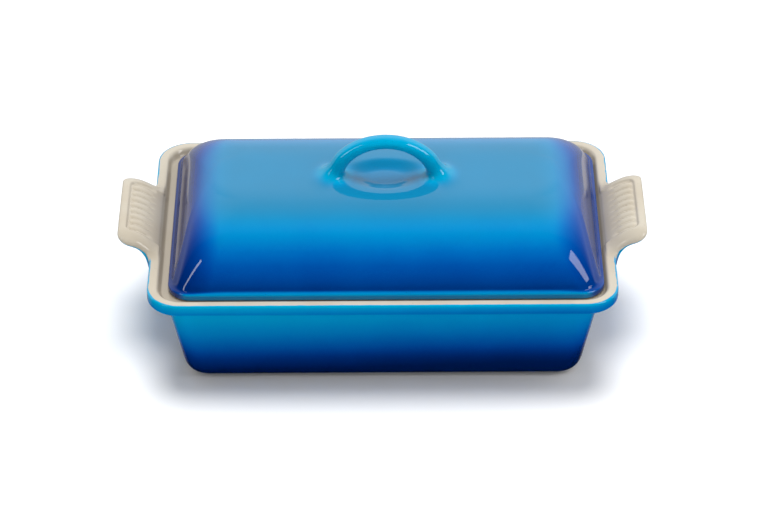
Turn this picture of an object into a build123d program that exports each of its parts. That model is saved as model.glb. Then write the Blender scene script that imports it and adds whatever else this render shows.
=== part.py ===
"""Covered rectangular stoneware baking dish: a glazed dish with two ribbed side grips, and a domed lid
with a loop handle that drops into the dish's rim. Millimetres, +Z up, origin under the middle of the base."""

import os
from math import radians, tan

from build123d import *

# Driving dimensions of the dish
rim_length = 330.0
rim_width = 212.0
rim_corner_radius = 24.0
rim_height = 80.0  # table to the top of the rim
rim_band_height = 8.5
lip_edge_radius = 1.5
rim_fillet = 4.0  # under the rim, into the wall
wall_setback = 11.7  # rim's outer face to the top of the outer wall
wall_thickness = 7.0
wall_taper = 10.2  # degrees from the vertical
wall_corner_radius = 17.5
base_edge_radius = 7.0
floor_thickness = 7.0
cavity_floor_radius = 10.0
foot_ring_width = 8.0
foot_ring_height = 1.4

# Driving dimensions of the lid's seat in the rim
lip_width = 7.0
recess_depth = 5.0
recess_draft = 2.5  # how far the recess wall leans in over its depth

# Stations of a side grip: distance from the dish's middle, top above the rim, half width, thickness
grip_stations = (
    (158.0, 0.0, 50.0, 6.5),
    (161.0, 3.2, 47.5, 6.5),
    (165.0, 7.4, 44.5, 6.5),
    (170.0, 11.0, 42.0, 6.5),
    (176.0, 13.6, 41.0, 6.5),
    (182.0, 15.1, 40.5, 6.2),
    (185.5, 15.2, 38.5, 5.2),
    (187.4, 14.6, 35.0, 3.4),
    (188.0, 13.6, 31.0, 1.2),
)
grip_flat_share = 0.7  # of the half width, flat across the top before the shoulder falls
grip_shoulder_drop = 5.0
grip_edge_share = 0.55  # of the thickness, left at the side edges
grip_side_round = 1.0
rib_count = 8
rib_pitch = 7.2
groove_radius = 1.6
groove_depth = 0.9

# Driving dimensions of the lid
lid_length = 306.0
lid_width = 186.0
lid_corner_radius = 17.0
lid_offset = 2.5  # the lid sits this far towards +X in its seat
seat_gap = 0.3
lid_wall_thickness = 5.2
lid_crown_thickness = 10.0
flange_height = 5.5
flange_step = 2.5
flange_edge_radius = 1.8
dome_top = 40.5  # above the rim
dome_end_lean = 15.0  # how far the lid's ends lean in over the dome's height
dome_end_round = 14.0  # and how much further they round over at the crown
dome_end_power = 8
dome_width_power = 2.5
dome_height_power = 1.6
dome_levels = (0.0, 0.3, 0.6, 0.82, 0.94, 0.985)  # shares of the dome's height
dome_crown_corner_radius = 28.0

# Driving dimensions of the finger well and the loop handle over it
well_depth = 5.0
well_half_width = 25.0
well_stretch = 1.2  # length over width
loop_half_span = 36.5
loop_apex = 71.8  # above the rim
loop_width = 13.0
loop_thickness = 9.0
loop_foot_depth = 4.0  # how far the loop's ends start below the crown
loop_foot_radius = 4.0

rim_underside = rim_height - rim_band_height
ledge_height = rim_height - recess_depth
wall_slope = tan(radians(wall_taper))
lid_bottom = ledge_height + seat_gap
dome_base = lid_bottom + flange_height
dome_rise = rim_height + dome_top - dome_base


def wall_outline(height, inset=0.0):
    """Length, width and corner radius of the tapered outer wall at a height, or of a face set inside it."""
    inwards = wall_setback + (rim_underside - height) * wall_slope + inset
    return rim_length - 2 * inwards, rim_width - 2 * inwards, wall_corner_radius - inset / 2


def dome_outline(share, inset=0.0):
    """Length, width and corner radius of the dome at a share of its height, or of a face set inside it."""
    left = 1 - share**dome_height_power
    lean = dome_end_lean * share + dome_end_round * share**dome_end_power
    half_length = lid_length / 2 - flange_step - lean - inset
    half_width = (lid_width / 2 - flange_step) * left ** (1 / dome_width_power) - inset
    radius = lid_corner_radius + share * (dome_crown_corner_radius - lid_corner_radius) - inset / 2
    return 2 * half_length, 2 * half_width, min(radius, 0.9 * half_width)


def lid_plane(height):
    """A level plane centred on the lid, which sits a little off the dish's middle."""
    return Plane((lid_offset, 0, height))


with BuildPart() as rib_groove:
    # A round groove that follows the top of a side grip
    with BuildLine(Plane.XZ) as groove_path:
        groove_lift = rim_height + groove_radius - groove_depth
        Spline([(reach, groove_lift + rise) for reach, rise, _, _ in grip_stations[1:6]])
    with BuildSketch(Plane(origin=groove_path.line @ 0, z_dir=groove_path.line % 0)):
        Circle(groove_radius)
    sweep()

with BuildPart() as side_grip:
    # A tongue that rises outwards from the rim, with fallen shoulders along its sides
    for reach, rise, half_width, thickness in grip_stations:
        top = rim_height + rise
        flat = grip_flat_share * half_width
        shoulder = top - grip_shoulder_drop
        edge_thickness = grip_edge_share * thickness
        with BuildSketch(Plane.YZ.offset(reach)):
            with BuildLine():
                crown = Line((0, top), (flat, top))
                fall = TangentArc(crown @ 1, (half_width - grip_side_round, shoulder), tangent=(1, 0))
                edge = ThreePointArc(
                    fall @ 1,
                    (half_width, shoulder - edge_thickness / 2),
                    (half_width - grip_side_round, shoulder - edge_thickness),
                )
                under = Line(edge @ 1, (flat, top - thickness))
                Line(under @ 1, (0, top - thickness))
                mirror(about=Plane.YZ)
            make_face()
    loft()
    # Ribs, left standing between grooves
    with GridLocations(0, rib_pitch, 1, rib_count + 1):
        add(rib_groove.part, mode=Mode.SUBTRACT)

with BuildPart() as cavity:
    # The space for food: the outer wall's shape, one wall thickness in
    for height in (floor_thickness, rim_height):
        length, width, radius = wall_outline(height, wall_thickness)
        with BuildSketch(Plane.XY.offset(height)):
            RectangleRounded(length, width, radius)
    loft(ruled=True)
    fillet(cavity.faces().sort_by(Axis.Z)[0].edges(), radius=cavity_floor_radius)

with BuildPart() as lid_seat:
    # The shallow recess that the lid's flange drops into
    for height, setback in ((ledge_height, lip_width + recess_draft), (rim_height, lip_width)):
        with BuildSketch(Plane.XY.offset(height)):
            RectangleRounded(rim_length - 2 * setback, rim_width - 2 * setback, rim_corner_radius - setback)
    loft(ruled=True)

with BuildPart() as baking_dish:
    # Tapered outer wall, down to the table
    for height in (rim_underside, 0):
        length, width, radius = wall_outline(height)
        with BuildSketch(Plane.XY.offset(height)):
            RectangleRounded(length, width, radius)
    loft(ruled=True)
    fillet(baking_dish.faces().sort_by(Axis.Z)[0].edges(), radius=base_edge_radius)

    # Overhanging rim band, with a soft hollow under it
    with BuildSketch(Plane.XY.offset(rim_underside)):
        RectangleRounded(rim_length, rim_width, rim_corner_radius)
    extrude(amount=rim_band_height)
    level_faces = baking_dish.faces().filter_by(Axis.Z)
    under_rim = level_faces.filter_by_position(Axis.Z, rim_underside - 0.1, rim_underside + 0.1)[0]
    fillet(under_rim.inner_wires().edges(), radius=rim_fillet)
    add(lid_seat.part, mode=Mode.SUBTRACT)
    fillet(baking_dish.faces().sort_by(Axis.Z)[-1].edges(), radius=lip_edge_radius)

    # A side grip at each end
    add(side_grip.part)
    add(mirror(side_grip.part, about=Plane.YZ, mode=Mode.PRIVATE))
    add(cavity.part, mode=Mode.SUBTRACT)

    # Foot ring
    base_size = baking_dish.faces().sort_by(Axis.Z)[0].bounding_box().size
    with BuildSketch(Plane.XY):
        RectangleRounded(
            base_size.X - 2 * foot_ring_width, base_size.Y - 2 * foot_ring_width, wall_corner_radius / 2
        )
    extrude(amount=foot_ring_height, mode=Mode.SUBTRACT)

with BuildPart() as finger_well:
    # A flat oval bowl of space, deepest under the loop
    well_radius = (well_half_width**2 + well_depth**2) / (2 * well_depth)
    Sphere(well_radius)
    scale(by=(well_stretch, 1, 1))

with BuildPart() as lid:
    # Flange that sits in the rim
    with BuildSketch(lid_plane(lid_bottom)):
        RectangleRounded(lid_length, lid_width, lid_corner_radius)
    extrude(amount=flange_height)
    fillet(lid.edges().filter_by(Plane.XY), radius=flange_edge_radius)

    # Dome
    for share in dome_levels:
        length, width, radius = dome_outline(share)
        with BuildSketch(lid_plane(dome_base + share * dome_rise)):
            RectangleRounded(length, width, radius)
    loft()
    crown_height = dome_base + dome_levels[-1] * dome_rise
    with Locations((lid_offset, 0, crown_height - well_depth + well_radius)):
        add(finger_well.part, mode=Mode.SUBTRACT)

    # Loop handle along the length, over the well
    loop_start = crown_height - loop_foot_depth
    loop_rise = rim_height + loop_apex - loop_thickness / 2 - loop_start
    with BuildLine(Plane.XZ) as loop_path:
        EllipticalCenterArc((lid_offset, loop_start), loop_half_span, loop_rise, arc_size=180)
    with BuildSketch(Plane(origin=loop_path.line @ 0, x_dir=(1, 0, 0), z_dir=(0, 0, 1))):
        Ellipse(loop_thickness / 2, loop_width / 2)
    before_loop = lid.edges()
    sweep()
    feet = (lid.edges() - before_loop).filter_by(lambda edge: edge.center().Z < crown_height + 1)
    fillet(feet, radius=loop_foot_radius)

    # Hollow underside
    hollow_rise = rim_height + dome_top - lid_crown_thickness - lid_bottom
    for share in dome_levels:
        length, width, radius = dome_outline(share, lid_wall_thickness)
        with BuildSketch(lid_plane(lid_bottom + share * hollow_rise)):
            RectangleRounded(length, width, radius)
    loft(mode=Mode.SUBTRACT)

os.makedirs("parts", exist_ok=True)
baking_dish.part.label = "baking_dish"
export_step(baking_dish.part, "parts/baking_dish.step")
lid.part.label = "lid"
export_step(lid.part, "parts/lid.step")
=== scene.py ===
"""Covered stoneware baking dish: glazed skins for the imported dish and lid, soft studio light and a camera.

Each skin is the surface where a signed distance formula is zero. The formulas work in the part's own
millimetres, +Z up, and the meshes are turned into metres when they are made."""

from math import cos, pi, radians, sin, tan

import bpy
import numpy as np
import openvdb
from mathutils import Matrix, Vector


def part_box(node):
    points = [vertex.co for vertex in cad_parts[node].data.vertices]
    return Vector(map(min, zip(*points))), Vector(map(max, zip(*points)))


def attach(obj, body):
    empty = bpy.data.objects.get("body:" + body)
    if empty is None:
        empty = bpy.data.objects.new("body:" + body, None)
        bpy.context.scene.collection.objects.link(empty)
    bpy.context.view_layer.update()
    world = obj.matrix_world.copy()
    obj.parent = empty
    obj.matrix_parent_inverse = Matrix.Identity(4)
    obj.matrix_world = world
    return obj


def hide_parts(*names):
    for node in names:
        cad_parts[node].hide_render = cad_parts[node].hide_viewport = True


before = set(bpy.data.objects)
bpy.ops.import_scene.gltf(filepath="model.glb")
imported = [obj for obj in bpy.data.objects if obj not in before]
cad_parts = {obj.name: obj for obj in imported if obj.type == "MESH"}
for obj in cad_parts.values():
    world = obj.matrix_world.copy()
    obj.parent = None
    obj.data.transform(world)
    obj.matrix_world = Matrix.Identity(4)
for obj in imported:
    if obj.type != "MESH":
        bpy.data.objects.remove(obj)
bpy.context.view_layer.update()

MM = 0.001  # metres in a millimetre

# Sizes read from the imported parts, in millimetres
dish_low, dish_high = (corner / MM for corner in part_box("baking_dish"))
lid_low, lid_high = (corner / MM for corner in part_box("lid"))
GRIP_REACH = dish_high.x
RIM_HALF_WIDTH = dish_high.y
LID_OFFSET = (lid_low.x + lid_high.x) / 2
LID_HALF_LENGTH = (lid_high.x - lid_low.x) / 2
LID_HALF_WIDTH = lid_high.y
LID_BOTTOM = lid_low.z
LOOP_TOP = lid_high.z

# Dish
RECESS_DEPTH = 5.0
SEAT_GAP = 0.3
RIM_TOP = LID_BOTTOM - SEAT_GAP + RECESS_DEPTH
RIM_HALF_LENGTH = 165.0
RIM_CORNER = 24.0
BAND_HEIGHT = 8.5
BAND_BOTTOM = RIM_TOP - BAND_HEIGHT
LIP_WIDTH = 7.0
LIP_ROUND = 1.5
RECESS_DRAFT = 2.5
RECESS_FLOOR_ROUND = 1.0
UNDER_RIM_ROUND = 4.0
WALL_SETBACK = 11.7
WALL_THICKNESS = 7.0
WALL_TAPER = radians(10.2)
WALL_CORNER = 17.5
BASE_ROUND = 7.0
FLOOR_THICKNESS = 7.0
FLOOR_ROUND = 10.0
CAVITY_LIP_ROUND = 1.5
FOOT_WIDTH = 8.0
FOOT_HEIGHT = 1.4
FOOT_INSET = 10.0  # middle of the foot ring, in from where the wall would meet the table
FOOT_CORNER = 9.0
FOOT_ROUND = 1.0
FOOT_RING_TOP = 6.0  # inside the floor

# Side grips: a slab that curves up and out of the rim, with a ribbed channel along its top
GRIP_ROOT = 158.0
GRIP_MIDDLE = (GRIP_REACH + GRIP_ROOT - 12) / 2  # of its plan, which starts inside the rim
GRIP_CREST = 184.0  # where the top is highest
GRIP_RISE = 15.3
GRIP_HALF_WIDTH = 42.0
GRIP_FLAT = 29.0  # half width before the sides fall
GRIP_SIDE_FALL = 0.029  # per millimetre squared
GRIP_CORNER = 9.0
GRIP_THICKNESS = 6.5
GRIP_THINNING = 1.3  # thinner by this at the crest
GRIP_EDGE_THINNING = 2.2  # and by this along the sides
GRIP_EDGE_ROUND = 2.4
GRIP_SLAB_ROUND = 0.5
GRIP_JOIN_ROUND = 7.0
CHANNEL_FOOT = 156.0  # where the channel leaves the lid's seat
CHANNEL_POWER = 2.25
CHANNEL_CLEARANCE = 2.0  # over the seat's floor
CHANNEL_SINK = 0.5  # rib tops below the plain border at the crest
CHANNEL_END = 181.8
CHANNEL_HALF_WIDTH = 30.4
CHANNEL_CORNER = 4.5
CHANNEL_WIDENING = 0.1  # per millimetre from the crest towards the seat
CHANNEL_FLOOR_ROUND = 2.0
CHANNEL_LIP_ROUND = 1.3
CHANNEL_INNER_END = CHANNEL_END - 60  # inside the seat
RIB_COUNT = 8
RIB_PITCH = 7.25
RIB_DEPTH = 1.6
RIB_POWER = 2.0  # how flat a rib's top is
RIB_END_BORDER = 1.0
RIB_FADE = (162.5, 168.0)  # the valleys deepen between these

# Lid
LID_CORNER = 17.0
LID_WALL = 5.2
LID_CROWN_THICKNESS = 10.0
HOLLOW_LIP_ROUND = 1.2
FLANGE_HEIGHT = 5.5
FLANGE_STEP = 2.5
FLANGE_ROUND = 1.8
STEP_ROUND = 2.2
DOME_BASE = LID_BOTTOM + FLANGE_HEIGHT
DOME_TOP = RIM_TOP + 40.5
DOME_SINK = 2.0  # how far the dome goes on down inside the flange
DOME_END_LEAN = 15.0
DOME_END_ROUND = 14.0
DOME_END_POWER = 8
DOME_WIDTH_POWER = 2.5
DOME_HEIGHT_POWER = 1.6
CROWN_CORNER = 28.0
WELL_DEPTH = 5.2
WELL_HALF_WIDTH = 25.5
WELL_STRETCH = 1.4
WELL_FLAT = (0.1, 0.42)  # in front and behind, as shares of the half width
WELL_TURN = 10.0  # the front half changes into the back half within this far of the middle
WELL_ROUND = 1.2
LOOP_HALF_SPAN = 35.8
LOOP_THICKENING = 3.4  # thicker by this at the feet
LOOP_THICKNESS = 9.0
LOOP_WIDTH = 13.0
LOOP_FOOT_DEPTH = 4.0  # how far under the crown the half ellipse starts
LOOP_ROOT = 3.0  # and how far the bar goes on down
LOOP_INNER_ROUND = 4.0
LOOP_OUTER_ROUND = 13.0
LOOP_ROUND_CHANGE = (LOOP_HALF_SPAN - 8, LOOP_HALF_SPAN + 10)  # from the inner round to the outer one

# Where the glazes meet, and how deep inside a glaze a point counts that is nowhere near its edge
DEEP_INSIDE = 10.0
CREAM_INSET = 1.5  # the cream glaze ends this far in from the rim's outer face
CREAM_GRIP_INSET = -2.0  # and past a grip's outer face, where its height decides
CREAM_RIM_DEPTH = 4.0  # under the rim's top
CREAM_GRIP_SHARE = 0.62  # of a grip's thickness
GRIP_START = (RIM_HALF_LENGTH - 2, RIM_HALF_LENGTH + 3)
CREAM_NEAR = 1.0  # every face this near the inside's spaces is cream
HOLLOW_NEAR = 0.7
CLAY_HEIGHT = 0.3  # of the foot ring's bare face
CLAY_SHARE = 0.7  # of the lid's wall, in to the middle of its bare line
CLAY_HALF_WIDTH = 1.3
CLAY_RISE = 1.0
LID_GLAZE_EDGE = 0.4


def soft_max(a, b, radius):
    """The larger of two distances: what both shapes share, its edge rounded to about this radius."""
    reach = 1.75 * radius
    near = np.maximum(reach - np.abs(a - b), 0) / reach
    return np.maximum(a, b) + near**3 * reach / 6


def soft_min(a, b, radius):
    """The smaller of two distances: both shapes together, the corner between them filled."""
    return -soft_max(-a, -b, radius)


def smooth_step(value, low, high):
    share = np.clip((value - low) / (high - low), 0, 1)
    return share * share * (3 - 2 * share)


def outline(x, y, half_length, half_width, corner):
    """Distance in plan to a rectangle with round corners."""
    past_x = np.abs(x) - half_length + corner
    past_y = np.abs(y) - half_width + corner
    outside = np.hypot(np.maximum(past_x, 0), np.maximum(past_y, 0))
    return outside + np.minimum(np.maximum(past_x, past_y), 0) - corner


def rim_outline(x, y):
    """Distance in plan to the rim's outer face."""
    return outline(x, y, RIM_HALF_LENGTH, RIM_HALF_WIDTH, RIM_CORNER)


def wall(x, y, z, inset):
    """The dish's tapered outer wall, or a face set inside it."""
    lean = WALL_SETBACK + (BAND_BOTTOM - z) * tan(WALL_TAPER) + inset
    corner = WALL_CORNER - inset / 2
    return outline(x, y, RIM_HALF_LENGTH - lean, RIM_HALF_WIDTH - lean, corner) * cos(WALL_TAPER)


def grip_top(x, y):
    """Height of a grip's top without its channel, and the slope there."""
    from_crest = (GRIP_CREST - np.clip(x, GRIP_ROOT - 6, GRIP_CREST)) / (GRIP_CREST - GRIP_ROOT)
    past_flat = np.maximum(np.abs(y) - GRIP_FLAT, 0)
    height = RIM_TOP + GRIP_RISE * (1 - from_crest**2) - GRIP_SIDE_FALL * past_flat**2
    along = 2 * GRIP_RISE * from_crest / (GRIP_CREST - GRIP_ROOT)
    return height, np.hypot(along, 2 * GRIP_SIDE_FALL * past_flat)


def grip_thickness(x, y):
    towards_crest = np.clip((x - GRIP_ROOT) / (GRIP_CREST - GRIP_ROOT), 0, 1)
    towards_side = np.clip((np.abs(y) - GRIP_FLAT) / (GRIP_HALF_WIDTH - GRIP_FLAT), 0, 1)
    return GRIP_THICKNESS - GRIP_THINNING * towards_crest - GRIP_EDGE_THINNING * towards_side


def grip_outline(x, y):
    """Distance in plan to a side grip."""
    return outline(x - GRIP_MIDDLE, y, GRIP_REACH - GRIP_MIDDLE, GRIP_HALF_WIDTH, GRIP_CORNER)


def grip(x, y, z):
    """A side grip as a plain curved slab."""
    top, slope = grip_top(x, y)
    steep = np.hypot(1, slope)
    above = (z - top) / steep
    below = (top - grip_thickness(x, y) * steep - z) / steep
    slab = soft_max(above, below, GRIP_SLAB_ROUND)
    return soft_max(slab, grip_outline(x, y), GRIP_EDGE_ROUND)


def rib_valley(x, y):
    """How far the channel's floor lies under the rib tops."""
    across = (np.mod(y / RIB_PITCH, 1) - 0.5) * RIB_PITCH
    rib_end = CHANNEL_END - RIB_END_BORDER - RIB_PITCH / 2
    along = np.maximum(x - rib_end, 0)
    off_centre = np.hypot(across, along) / (RIB_PITCH / 2)
    beyond = np.abs(y) > RIB_COUNT / 2 * RIB_PITCH
    share = np.where(beyond, 1, np.minimum(off_centre, 1) ** RIB_POWER)
    return RIB_DEPTH * share * smooth_step(x, *RIB_FADE)


def channel(x, y, z):
    """The space over a grip's ribs, which runs out of the lid's seat and up along the grip."""
    from_crest = (GRIP_CREST - np.clip(x, CHANNEL_FOOT, GRIP_CREST)) / (GRIP_CREST - CHANNEL_FOOT)
    fall = GRIP_RISE + RECESS_DEPTH - CHANNEL_SINK - CHANNEL_CLEARANCE
    floor = RIM_TOP + GRIP_RISE - CHANNEL_SINK - fall * from_crest**CHANNEL_POWER - rib_valley(x, y)
    slope = CHANNEL_POWER * fall * from_crest ** (CHANNEL_POWER - 1) / (GRIP_CREST - CHANNEL_FOOT)
    half_width = CHANNEL_HALF_WIDTH + CHANNEL_WIDENING * np.maximum(GRIP_CREST - x, 0)
    middle = (CHANNEL_END + CHANNEL_INNER_END) / 2
    sides = outline(x - middle, y, CHANNEL_END - middle, half_width, CHANNEL_CORNER)
    return soft_max((floor - z) / np.hypot(1, slope), sides, CHANNEL_FLOOR_ROUND)


def seat(x, y, z):
    """The recess in the rim that the lid drops into."""
    setback = LIP_WIDTH + RECESS_DRAFT * np.clip((RIM_TOP - z) / RECESS_DEPTH, 0, 1)
    sides = outline(x, y, RIM_HALF_LENGTH - setback, RIM_HALF_WIDTH - setback, RIM_CORNER - LIP_WIDTH)
    return soft_max(sides, RIM_TOP - RECESS_DEPTH - z, RECESS_FLOOR_ROUND)


def cavity(x, y, z):
    """The space for food."""
    return soft_max(wall(x, y, z, WALL_THICKNESS), FLOOR_THICKNESS - z, FLOOR_ROUND)


def dish_surface(x, y, z):
    """Signed distance to the baking dish, in millimetres: below zero inside the stoneware."""
    side = np.abs(x)
    body = soft_max(wall(x, y, z, 0), FOOT_HEIGHT - z, BASE_ROUND)
    band_middle = BAND_BOTTOM + BAND_HEIGHT / 2
    body = np.maximum(body, z - band_middle)
    rim = soft_max(rim_outline(x, y), np.abs(z - band_middle) - BAND_HEIGHT / 2, LIP_ROUND)
    body = soft_min(body, rim, UNDER_RIM_ROUND)
    body = soft_min(body, grip(side, y, z), GRIP_JOIN_ROUND)

    body = soft_max(body, -seat(x, y, z), LIP_ROUND)
    body = soft_max(body, -channel(side, y, z), CHANNEL_LIP_ROUND)
    body = soft_max(body, -cavity(x, y, z), CAVITY_LIP_ROUND)

    foot_inset = WALL_SETBACK + BAND_BOTTOM * tan(WALL_TAPER) + FOOT_INSET
    foot_line = outline(x, y, RIM_HALF_LENGTH - foot_inset, RIM_HALF_WIDTH - foot_inset, FOOT_CORNER)
    off_level = np.abs(z - FOOT_RING_TOP / 2) - FOOT_RING_TOP / 2
    foot = soft_max(np.abs(foot_line) - FOOT_WIDTH / 2, off_level, FOOT_ROUND)
    return soft_min(body, foot, FOOT_ROUND)


def dome_section(share, inset):
    """Half length, half width and corner radius of the dome at a share of its height."""
    left = np.maximum(1 - share**DOME_HEIGHT_POWER, 0)
    lean = DOME_END_LEAN * share + DOME_END_ROUND * share**DOME_END_POWER
    half_length = LID_HALF_LENGTH - FLANGE_STEP - lean - inset
    half_width = (LID_HALF_WIDTH - FLANGE_STEP) * left ** (1 / DOME_WIDTH_POWER) - inset
    corner = LID_CORNER + share * (CROWN_CORNER - LID_CORNER) - inset / 2
    return half_length, half_width, np.minimum(corner, 0.9 * np.maximum(half_width, 0))


def dome(x, y, z, base, rise, inset):
    """Distance to the dome, or to a hollow set inside it, from the distances sideways and straight up."""
    low, high = np.zeros_like(x), np.ones_like(x)
    for _ in range(22):  # halvings, enough for the height over each point in plan
        share = (low + high) / 2
        inside = outline(x, y, *dome_section(share, inset)) < 0
        low, high = np.where(inside, share, low), np.where(inside, high, share)
    upwards = z - base - rise * (low + high) / 2
    share = (z - base) / rise
    level = outline(x, y, *dome_section(np.clip(share, 0, 1), inset))
    both = level * np.abs(upwards) / np.maximum(np.hypot(level, upwards), 1e-9)
    beside = (share <= 0) | (outline(x, y, *dome_section(np.zeros_like(x), inset)) >= 0)
    return np.where(share >= 1, upwards, np.where(beside, level, both))


def hollow(x, y, z):
    """The space under the lid."""
    return dome(x, y, z, LID_BOTTOM, DOME_TOP - LID_CROWN_THICKNESS - LID_BOTTOM, LID_WALL)


def flange_outline(x, y):
    """Distance in plan to the lid's flange."""
    return outline(x, y, LID_HALF_LENGTH, LID_HALF_WIDTH, LID_CORNER)


def loop(x, y, z):
    """The loop handle: an oval bar bent along half an ellipse over the lid's length."""
    start = DOME_TOP - LOOP_FOOT_DEPTH
    rise = LOOP_TOP - LOOP_THICKNESS / 2 - start
    up = np.maximum(z - start, 0) / rise
    x = np.abs(x)
    share = np.maximum(np.hypot(x / LOOP_HALF_SPAN, up), 1e-6)
    steep = np.hypot(x / LOOP_HALF_SPAN**2, up / rise) / share
    off_path = (share - 1) / np.maximum(steep, 1e-6)
    half_thickness = (LOOP_THICKNESS + LOOP_THICKENING * np.minimum(x / LOOP_HALF_SPAN, 1) ** 2) / 2
    across = np.hypot(off_path / half_thickness, y / (LOOP_WIDTH / 2))
    growth = np.hypot(off_path / half_thickness**2, y / (LOOP_WIDTH / 2) ** 2) / np.maximum(across, 1e-6)
    bar = (across - 1) / np.maximum(growth, 1e-6)
    return np.maximum(bar, start - LOOP_ROOT - z)


def lid_surface(x, y, z):
    """Signed distance to the lid, in millimetres: below zero inside the stoneware."""
    x = x - LID_OFFSET
    off_level = np.abs(z - LID_BOTTOM - FLANGE_HEIGHT / 2) - FLANGE_HEIGHT / 2
    flange = soft_max(flange_outline(x, y), off_level, FLANGE_ROUND)
    shell = dome(x, y, z, DOME_BASE, DOME_TOP - DOME_BASE, 0)
    shell = np.maximum(shell, DOME_BASE - DOME_SINK - z)
    body = soft_min(flange, shell, STEP_ROUND)

    off_middle = np.hypot(x / WELL_STRETCH, y) / WELL_HALF_WIDTH
    flat = WELL_FLAT[0] + (WELL_FLAT[1] - WELL_FLAT[0]) * smooth_step(y, -WELL_TURN, WELL_TURN)
    climb = np.clip((off_middle - flat) / (1 - flat), 0, 1)
    well_floor = DOME_TOP - WELL_DEPTH * (1 - climb * climb * (3 - 2 * climb))
    well_slope = WELL_DEPTH * 6 * climb * (1 - climb) / (1 - flat) / WELL_HALF_WIDTH
    body = soft_max(body, (z - well_floor) / np.hypot(1, well_slope), WELL_ROUND)

    outer = smooth_step(np.abs(x), *LOOP_ROUND_CHANGE)
    foot_round = LOOP_INNER_ROUND + (LOOP_OUTER_ROUND - LOOP_INNER_ROUND) * outer
    body = soft_min(body, loop(x, y, z), foot_round)

    return soft_max(body, -hollow(x, y, z), HOLLOW_LIP_ROUND)


def grid_lines(*stretches):
    """Places along an axis, from stretches of (start, end, spacing), each ending where the next starts."""
    lines = []
    for start, end, spacing in stretches:
        lines.append(np.arange(start, end, (end - start) / round((end - start) / spacing)))
    return np.append(np.concatenate(lines), stretches[-1][1])


def mirrored(lines):
    return np.concatenate([-lines[:0:-1], lines])


def slopes(surface, points, step=0.02):
    """How the distance grows along each axis at each point."""
    shifts = np.eye(3) * step
    return np.column_stack([
        (surface(*(points + shift).T) - surface(*(points - shift).T)) / (2 * step) for shift in shifts
    ])


def drawn_onto(surface, points, rounds):
    """The points moved onto the surface where the distance is zero."""
    for _ in range(rounds):
        gradient = slopes(surface, points)
        steepness = np.maximum((gradient**2).sum(1, keepdims=True), 0.05)
        move = surface(*points.T)[:, None] * gradient / steepness
        points = points - np.clip(move, -1, 1)
    return points


def evened(points, quads):
    """Each point halfway to the middle of its neighbours, so that the faces share the surface evenly."""
    total = np.zeros_like(points)
    count = np.zeros(len(points))
    for here, there in ((0, 1), (1, 2), (2, 3), (3, 0)):
        for one, other in ((quads[:, here], quads[:, there]), (quads[:, there], quads[:, here])):
            count += np.bincount(one, minlength=len(points))
            for axis in range(3):
                total[:, axis] += np.bincount(one, weights=points[other, axis], minlength=len(points))
    return points + 0.5 * (total / count[:, None] - points)


def skin(name, surface, lines):
    """A closed mesh of quads on the surface, with the surface's own normals."""
    values = surface(*np.meshgrid(*lines, indexing="ij"))
    grid = openvdb.FloatGrid(4.0)
    grid.copyFromArray(np.clip(values, -4, 4).astype(np.float32))
    points, quads = grid.convertToQuads(isovalue=0.0)
    quads = quads.astype(np.int64)
    points = np.column_stack([
        np.interp(points[:, axis], np.arange(len(places)), places) for axis, places in enumerate(lines)
    ])
    points = drawn_onto(surface, points, 3)
    for _ in range(3):
        points = drawn_onto(surface, evened(points, quads), 2)
    normals = slopes(surface, points)
    normals /= np.linalg.norm(normals, axis=1, keepdims=True)

    mesh = bpy.data.meshes.new(name)
    mesh.vertices.add(len(points))
    mesh.vertices.foreach_set("co", (points * MM).astype(np.float32).ravel())
    mesh.loops.add(quads.size)
    mesh.loops.foreach_set("vertex_index", quads.astype(np.int32).ravel())
    mesh.polygons.add(len(quads))
    mesh.polygons.foreach_set("loop_start", np.arange(0, quads.size, 4, dtype=np.int32))
    mesh.update(calc_edges=True)
    mesh.validate()
    mesh.normals_split_custom_set_from_vertices(normals.astype(np.float32))
    piece = bpy.data.objects.new(name, mesh)
    bpy.context.scene.collection.objects.link(piece)
    print(name, len(points), "points,", len(quads), "quads, off by", np.abs(surface(*points.T)).max())
    return piece, points, normals


# Where each glaze lies, kept on the meshes in millimetres


def convexity(mesh, points, normals):
    """How sharply the surface turns away at each point, per millimetre: above zero on an outer edge."""
    edges = np.empty(len(mesh.edges) * 2, np.int32)
    mesh.edges.foreach_get("vertices", edges)
    one, other = edges[0::2], edges[1::2]
    step = points[other] - points[one]
    bend = -2 * (step * normals[one]).sum(1) / (step**2).sum(1)
    bend_back = 2 * (step * normals[other]).sum(1) / (step**2).sum(1)
    count = np.bincount(one, minlength=len(points)) + np.bincount(other, minlength=len(points))
    total = np.bincount(one, weights=bend, minlength=len(points))
    total += np.bincount(other, weights=bend_back, minlength=len(points))
    turn = total / count
    for _ in range(3):
        total = np.bincount(one, weights=turn[other], minlength=len(points))
        total += np.bincount(other, weights=turn[one], minlength=len(points))
        turn = 0.5 * turn + 0.5 * total / count
    return turn


def keep_values(mesh, name, values):
    mesh.attributes.new(name, "FLOAT", "POINT").data.foreach_set("value", values.astype(np.float32))


# How dark the blue lies, by height above the rim: 0 is bright, 1 is dark. On the dish the darkening towards
# the base is partly the glaze's own shading from cyan to navy and partly painted shade near the table, and
# it is also darker in a line along the band's lower edge
DISH_BLUE = (
    (-80, 1.25), (-76, 1.15), (-68, 0.98), (-60, 0.86), (-48, 0.6), (-36, 0.39),
    (-22, 0.2), (-15, 0.15), (-10, 0.27), (-7, 0.45), (-1, 0.1),
)
DISH_BLUE_DRIFT = 0.09  # thicker by this towards +X, and thinner towards -X
LID_BLUE = (
    (-4, 0.3), (0, 0.22), (1.2, 0.3), (2.5, 0.74), (9, 0.7), (17, 0.62),
    (24, 0.46), (30, 0.27), (36, 0.2), (41, 0.2), (44, 0.0),
)
# Painted shade in the lid's seat: how far the cream there is mixed towards its shaded colour
SEAT_SHADE = 0.6
LID_END = 148.0  # the lid's ends are darkest from here
DARK_LEFT_END = 0.9
DARK_RIGHT_END = 0.78


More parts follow.
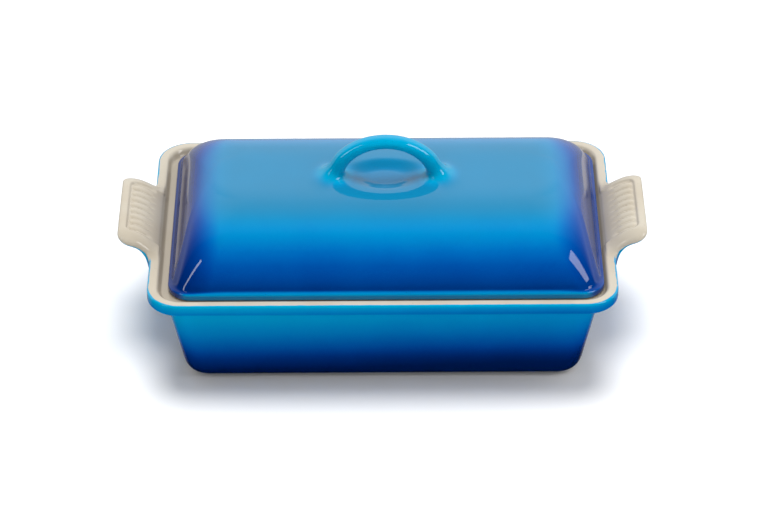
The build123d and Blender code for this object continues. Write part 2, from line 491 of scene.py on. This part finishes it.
def blue_by_height(z, table):
    heights, values = zip(*table)
    return np.interp(z - RIM_TOP, heights, values)


def dish_seat_shade(x, y, z):
    """How much painted shade darkens the cream in the lid's seat, under the lip."""
    in_seat = 1 - smooth_step(seat(x, y, z), 0.3, 1.5)
    under_lip = smooth_step(RIM_TOP - z, 0.8, 2.5) * smooth_step(z, RIM_TOP - 12, RIM_TOP - 7)
    return SEAT_SHADE * in_seat * under_lip


def dish_glaze(points):
    """What the dish's material reads at each point: how far inside the cream glaze and the bare clay it is,
    how dark the blue lies, how much painted shade darkens the cream in the seat, and how much of it is
    crown."""
    x, y, z = points.T
    side = np.abs(x)
    on_grip = smooth_step(side, *GRIP_START)
    top, _ = grip_top(side, np.clip(y, -GRIP_HALF_WIDTH, GRIP_HALF_WIDTH))
    plan = soft_min(rim_outline(side, y), grip_outline(side, y), GRIP_JOIN_ROUND)
    within = -plan - CREAM_INSET * (1 - on_grip) - CREAM_GRIP_INSET * on_grip
    over_rim = z - RIM_TOP + CREAM_RIM_DEPTH
    over_grip = z - top + grip_thickness(side, y) * CREAM_GRIP_SHARE
    inner = np.minimum(np.minimum(cavity(side, y, z), seat(side, y, z)), channel(side, y, z))
    cream = np.minimum(within, over_rim + on_grip * (over_grip - over_rim))
    return {
        "cream": np.where(inner < CREAM_NEAR, DEEP_INSIDE, cream),
        "clay": CLAY_HEIGHT - z,
        "blue": blue_by_height(z, DISH_BLUE) + DISH_BLUE_DRIFT * np.tanh(x / 120),
        "crown": np.zeros(len(points)),
        "recess_shade": dish_seat_shade(side, y, z),
    }


def lid_blue(x, y, z):
    """How thick the blue glaze lies on the lid: by height, but dark at the ends and thin round the loop."""
    on_flange = 1 - smooth_step(z, DOME_BASE - 0.5, DOME_BASE + 1.5)
    start = 62 + 42 * smooth_step(z, RIM_TOP + 8, RIM_TOP + 38) + 75 * on_flange
    to_end = smooth_step(np.abs(x), start, LID_END) * np.where(x < 0, DARK_LEFT_END, DARK_RIGHT_END)
    return np.maximum(blue_by_height(z, LID_BLUE), to_end) * smooth_step(loop(x, y, z), 1, 12)


def lid_crown_shade(x, y, z):
    """1 on the level crown, which is painted a darker, greyer blue than the loop and the slopes: painted
    shade that tones down the light falling on the top.
    """
    level = smooth_step(z, DOME_TOP - 9, DOME_TOP - 2)
    return level * smooth_step(loop(x, y, z), 2, 14) * (1 - smooth_step(np.abs(x), 105, 146))


def lid_glaze(points):
    """What the lid's material reads at each point."""
    x, y, z = points[:, 0] - LID_OFFSET, points[:, 1], points[:, 2]
    cream = np.where(hollow(x, y, z) < HOLLOW_NEAR, DEEP_INSIDE, LID_BOTTOM + LID_GLAZE_EDGE - z)
    off_clay = np.abs(flange_outline(x, y) + LID_WALL * CLAY_SHARE)
    clay = np.where(z > LID_BOTTOM + CLAY_RISE, -DEEP_INSIDE, CLAY_HALF_WIDTH - off_clay)
    return {
        "cream": cream,
        "clay": clay,
        "blue": lid_blue(x, y, z),
        "crown": lid_crown_shade(x, y, z),
        "recess_shade": np.zeros(len(points)),
    }


# Materials

NAVY = (0.0, 0.006, 0.047, 1)
ROYAL = (0.0, 0.043, 0.32, 1)
AZURE = (0.0, 0.19, 0.50, 1)
CYAN = (0.0, 0.35, 0.57, 1)
# Painted shade: the darker, greyer blue painted on the level crown
CROWN_IN_SHADE = (0.005, 0.185, 0.35, 1)
CREAM = (0.52, 0.475, 0.39, 1)
CREAM_THICK = (0.48, 0.425, 0.335, 1)
# Cream in painted shade, for the lid's seat and concave creases
CREAM_IN_SHADE = (0.27, 0.225, 0.17, 1)
CLAY = (0.62, 0.50, 0.38, 1)
CLAY_DARK = (0.48, 0.37, 0.27, 1)
SPECK = (0.40, 0.34, 0.26, 1)


class Nodes:
    """A material's node tree, with short ways to add to it. Values may be numbers, colours or sockets."""

    def __init__(self, name):
        self.material = bpy.data.materials.new(name)
        self.material.use_nodes = True
        self.tree = self.material.node_tree
        self.tree.nodes.clear()

    def add(self, kind, values=(), **settings):
        node = self.tree.nodes.new(kind)
        for key, value in settings.items():
            setattr(node, key, value)
        for key, value in dict(values).items():
            self.put(node.inputs[key], value)
        return node

    def put(self, socket, value):
        if isinstance(value, bpy.types.NodeSocket):
            self.tree.links.new(value, socket)
        else:
            socket.default_value = value

    def math(self, operation, *values):
        return self.add("ShaderNodeMath", enumerate(values), operation=operation).outputs[0]

    def noise(self, place, size, detail=2.0, rough=0.5):
        """Noise from 0 to 1 whose lumps are about this many millimetres across."""
        values = {"Vector": place, "Scale": 1 / (size * MM), "Detail": detail, "Roughness": rough}
        return self.add("ShaderNodeTexNoise", values).outputs[0]

    def about_zero(self, noise, reach):
        """Noise from 0 to 1, moved to lie about zero and scaled."""
        return self.math("MULTIPLY", self.math("SUBTRACT", noise, 0.5), reach)

    def share(self, value, low, high):
        """0 up to the low value, 1 from the high one on, and a smooth step between."""
        values = {"Value": value, "From Min": low, "From Max": high}
        return self.add("ShaderNodeMapRange", values, interpolation_type="SMOOTHSTEP").outputs[0]

    def mix(self, factor, one, other):
        values = {0: factor, 6: one, 7: other}
        return self.add("ShaderNodeMix", values, data_type="RGBA").outputs[2]

    def blend(self, factor, one, other):
        return self.add("ShaderNodeMix", {0: factor, 2: one, 3: other}, data_type="FLOAT").outputs[0]

    def ramp(self, factor, stops):
        node = self.add("ShaderNodeValToRGB", {0: factor})
        elements = node.color_ramp.elements
        node.color_ramp.interpolation = "B_SPLINE"
        while len(elements) < len(stops):
            elements.new(0.5)
        for element, (place, colour) in zip(elements, stops):
            element.position = place
            element.color = colour
        return node.outputs[0]

    def kept(self, name):
        return self.add("ShaderNodeAttribute", attribute_name=name).outputs["Fac"]


def glazed_stoneware(name):
    """Two glazes over buff clay: which lies where, how dark the blue is and where shade is painted are read
    from the mesh.
    """
    nodes = Nodes(name)
    place = nodes.add("ShaderNodeTexCoord").outputs["Object"]
    edge = nodes.kept("edge")
    drift = nodes.noise(place, 38, 3)
    grain = nodes.noise(place, 0.9, 3, 0.7)
    speck = nodes.noise(place, 2.2, 2, 0.6)

    # The blue's darkness is partly the glaze's own shading and partly painted shade near the table
    blue_darkness = nodes.math("ADD", nodes.kept("blue"), nodes.about_zero(drift, 0.10))
    blue_darkness = nodes.math("ADD", blue_darkness, nodes.about_zero(grain, 0.07))
    worn = nodes.math("MULTIPLY", nodes.share(edge, 0.05, 0.5), 0.3)
    blue_darkness = nodes.math("SUBTRACT", blue_darkness, worn)
    blue = nodes.ramp(blue_darkness, ((0.0, CYAN), (0.3, AZURE), (0.65, ROYAL), (1.0, NAVY)))
    # Painted shade: the level crown is painted a darker, greyer blue
    crown_shade = nodes.math("MULTIPLY", nodes.kept("crown"), nodes.blend(drift, 0.7, 1.0))
    blue = nodes.mix(crown_shade, blue, CROWN_IN_SHADE)

    cream = nodes.mix(nodes.share(drift, 0.3, 0.7), CREAM, CREAM_THICK)
    cream = nodes.mix(nodes.share(speck, 0.68, 0.78), cream, SPECK)
    # Painted shade: the cream darkens in concave creases and in the lid's seat
    recess_shade = nodes.math("MAXIMUM", nodes.share(edge, -0.1, -0.7), nodes.kept("recess_shade"))
    cream = nodes.mix(recess_shade, cream, CREAM_IN_SHADE)
    waver = nodes.about_zero(nodes.noise(place, 7, 4, 0.6), 0.9)
    cream_line = nodes.math("ADD", nodes.kept("cream"), waver)
    is_cream = nodes.share(cream_line, -0.18, 0.18)
    colour = nodes.mix(is_cream, blue, cream)

    clay = nodes.mix(nodes.noise(place, 1.6, 4, 0.7), CLAY, CLAY_DARK)
    clay_waver = nodes.about_zero(nodes.noise(place, 5, 3), 0.5)
    is_clay = nodes.share(nodes.math("ADD", nodes.kept("clay"), clay_waver), -0.08, 0.08)
    colour = nodes.mix(is_clay, colour, clay)

    glaze_rough = nodes.blend(drift, 0.025, 0.06)
    rough = nodes.blend(is_clay, glaze_rough, nodes.blend(grain, 0.7, 0.95))

    wave = nodes.math("MULTIPLY", nodes.noise(place, 16, 2), 0.030)
    orange_peel = nodes.math("MULTIPLY", nodes.noise(place, 2.6, 2), 0.0012)
    step = nodes.math("MULTIPLY", nodes.share(cream_line, -0.6, 0.6), 0.05)
    grit = nodes.math("MULTIPLY", is_clay, nodes.noise(place, 0.7, 4, 0.8))
    grit = nodes.math("MULTIPLY", grit, 0.10)
    height = nodes.math("ADD", nodes.math("ADD", wave, orange_peel), nodes.math("ADD", step, grit))
    bump = nodes.add("ShaderNodeBump", {"Strength": 1.0, "Distance": MM, "Height": height}).outputs[0]

    values = {"Base Color": colour, "Roughness": rough, "Normal": bump, "IOR": 1.5}
    shader = nodes.add("ShaderNodeBsdfPrincipled", values)
    nodes.add("ShaderNodeOutputMaterial", {"Surface": shader.outputs[0]})
    return nodes.material


# The two pieces

dish_lines = (
    mirrored(grid_lines((0, 130, 4), (130, 150, 2), (150, 190, 1.15))),
    mirrored(grid_lines((0, 33, 0.9), (33, 50, 1.2), (50, 76, 3), (76, 90, 2), (90, 108, 1.2))),
    grid_lines((-2, 6, 1), (6, 65, 3), (65, 98, 1.0)),
)
lid_lines = (
    LID_OFFSET + mirrored(grid_lines((0, 52, 1.2), (52, 136, 3), (136, 146, 1.6), (146, 154, 0.9))),
    mirrored(grid_lines((0, 12, 0.9), (12, 72, 2.5), (72, 84, 1.6), (84, 95, 0.9))),
    grid_lines(
        (LID_BOTTOM - 3, RIM_TOP + 3, 0.8), (RIM_TOP + 3, RIM_TOP + 31, 2), (RIM_TOP + 31, LOOP_TOP + 3, 1.2)
    ),
)

for name, surface, lines, glaze, node, body, slot in (
    ("glazed_dish", dish_surface, dish_lines, dish_glaze, "baking_dish", "dish", "dish_stoneware"),
    ("glazed_lid", lid_surface, lid_lines, lid_glaze, "lid", "lid", "lid_stoneware"),
):
    piece, points, normals = skin(name, surface, lines)
    for kept, values in glaze(points).items():
        keep_values(piece.data, kept, values)
    keep_values(piece.data, "edge", convexity(piece.data, points, normals))
    piece.data.materials.append(glazed_stoneware(slot + "_glaze"))
    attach(piece, body)
    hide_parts(node)


# Floor, light and camera

FLOOR_REACH = 8.0
floor_corners = [(x * FLOOR_REACH, y * FLOOR_REACH, 0) for x, y in ((-1, -1), (1, -1), (1, 1), (-1, 1))]
floor_mesh = bpy.data.meshes.new("floor")
floor_mesh.from_pydata(floor_corners, [], [(0, 1, 2, 3)])
floor = bpy.data.objects.new("floor", floor_mesh)
bpy.context.scene.collection.objects.link(floor)
floor_nodes = Nodes("floor_paint")
floor_values = {"Base Color": (0.92, 0.92, 0.92, 1), "Roughness": 0.9, "Specular IOR Level": 0.0}
floor_shader = floor_nodes.add("ShaderNodeBsdfPrincipled", floor_values)
floor_nodes.add("ShaderNodeOutputMaterial", {"Surface": floor_shader.outputs[0]})
floor_mesh.materials.append(floor_nodes.material)
floor.visible_glossy = False

TARGET = Vector((0, 0, RIM_TOP * MM))
CAMERA_DISTANCE = 2.463
CAMERA_ELEVATION = 34.0
CAMERA_TILT = 0.575  # aims this many degrees under the middle of the rim
CAMERA_ROLL = -0.32
# The white screen behind and over the dish: degrees above the horizon, and how bright it is there
SCREEN = (
    (-60, 0.0), (-30, 0.4), (-8, 0.6), (8, 0.68), (22, 0.86),
    (37, 1.12), (46, 1.0), (55, 0.68), (68, 0.24), (84, 0.0),
)


def direction(azimuth, elevation):
    """Unit vector from the object: azimuth 0 is towards the camera's side, 90 towards +X."""
    a, e = radians(azimuth), radians(elevation)
    return Vector((sin(a) * cos(e), -cos(a) * cos(e), sin(e)))


def softbox(name, azimuth, elevation, distance, width, height, radiance, seen=True):
    light = bpy.data.lights.new(name, "AREA")
    light.shape = "RECTANGLE"
    light.size = width
    light.size_y = height
    light.energy = radiance * pi * width * height
    lamp = bpy.data.objects.new(name, light)
    lamp.location = TARGET + direction(azimuth, elevation) * distance
    lamp.rotation_euler = direction(azimuth, elevation).to_track_quat("Z", "Y").to_euler()
    lamp.visible_glossy = seen
    bpy.context.scene.collection.objects.link(lamp)


softbox("left_strip", -62, 36, 1.6, 0.13, 1.2, 6.0)
softbox("right_softbox", 68, 40, 1.6, 0.45, 1.1, 5.0)
softbox("front_fill", 0, 30, 2.8, 2.5, 1.5, 1.6, seen=False)

sun = bpy.data.lights.new("ceiling", "SUN")
sun.energy = 2.8
sun.angle = radians(32)
ceiling = bpy.data.objects.new("ceiling", sun)
ceiling.rotation_euler = direction(180, 85).to_track_quat("Z", "Y").to_euler()
ceiling.visible_glossy = False
bpy.context.scene.collection.objects.link(ceiling)

# The world holds the screen, which fades out in front of the dish
world = bpy.data.worlds.new("studio")
world.use_nodes = True
sky = world.node_tree.nodes
links = world.node_tree.links
sky_place = sky.new("ShaderNodeTexCoord")
apart = sky.new("ShaderNodeSeparateXYZ")
links.new(sky_place.outputs["Generated"], apart.inputs[0])
rise = sky.new("ShaderNodeMath")
rise.operation = "ARCTAN2"
links.new(apart.outputs[2], rise.inputs[0])
links.new(apart.outputs[1], rise.inputs[1])
place_on_screen = sky.new("ShaderNodeMapRange")
place_on_screen.inputs["From Min"].default_value = radians(-90)
place_on_screen.inputs["From Max"].default_value = radians(90)
links.new(rise.outputs[0], place_on_screen.inputs["Value"])
screen = sky.new("ShaderNodeValToRGB")
while len(screen.color_ramp.elements) < len(SCREEN):
    screen.color_ramp.elements.new(0.5)
for element, (angle, radiance) in zip(screen.color_ramp.elements, SCREEN):
    element.position = (angle + 90) / 180
    element.color = (radiance, radiance, radiance, 1)
links.new(place_on_screen.outputs[0], screen.inputs[0])
behind = sky.new("ShaderNodeMapRange")
behind.interpolation_type = "SMOOTHSTEP"
behind.inputs["From Min"].default_value = -0.05
behind.inputs["From Max"].default_value = 0.1
links.new(apart.outputs[1], behind.inputs["Value"])
links.new(screen.outputs[0], sky["Background"].inputs[0])
links.new(behind.outputs[0], sky["Background"].inputs[1])
bpy.context.scene.world = world
bpy.context.scene.view_settings.view_transform = "Standard"

camera_data = bpy.data.cameras.new("camera")
camera_data.sensor_width = 36.0
camera_data.lens = 161.2
camera = bpy.data.objects.new("camera", camera_data)
camera.location = TARGET + direction(0, CAMERA_ELEVATION) * CAMERA_DISTANCE
aim = direction(0, CAMERA_ELEVATION + CAMERA_TILT)
camera.rotation_euler = aim.to_track_quat("Z", "Y").to_euler()
camera.rotation_euler.rotate_axis("Z", radians(CAMERA_ROLL))
bpy.context.scene.collection.objects.link(camera)
bpy.context.scene.camera = camera
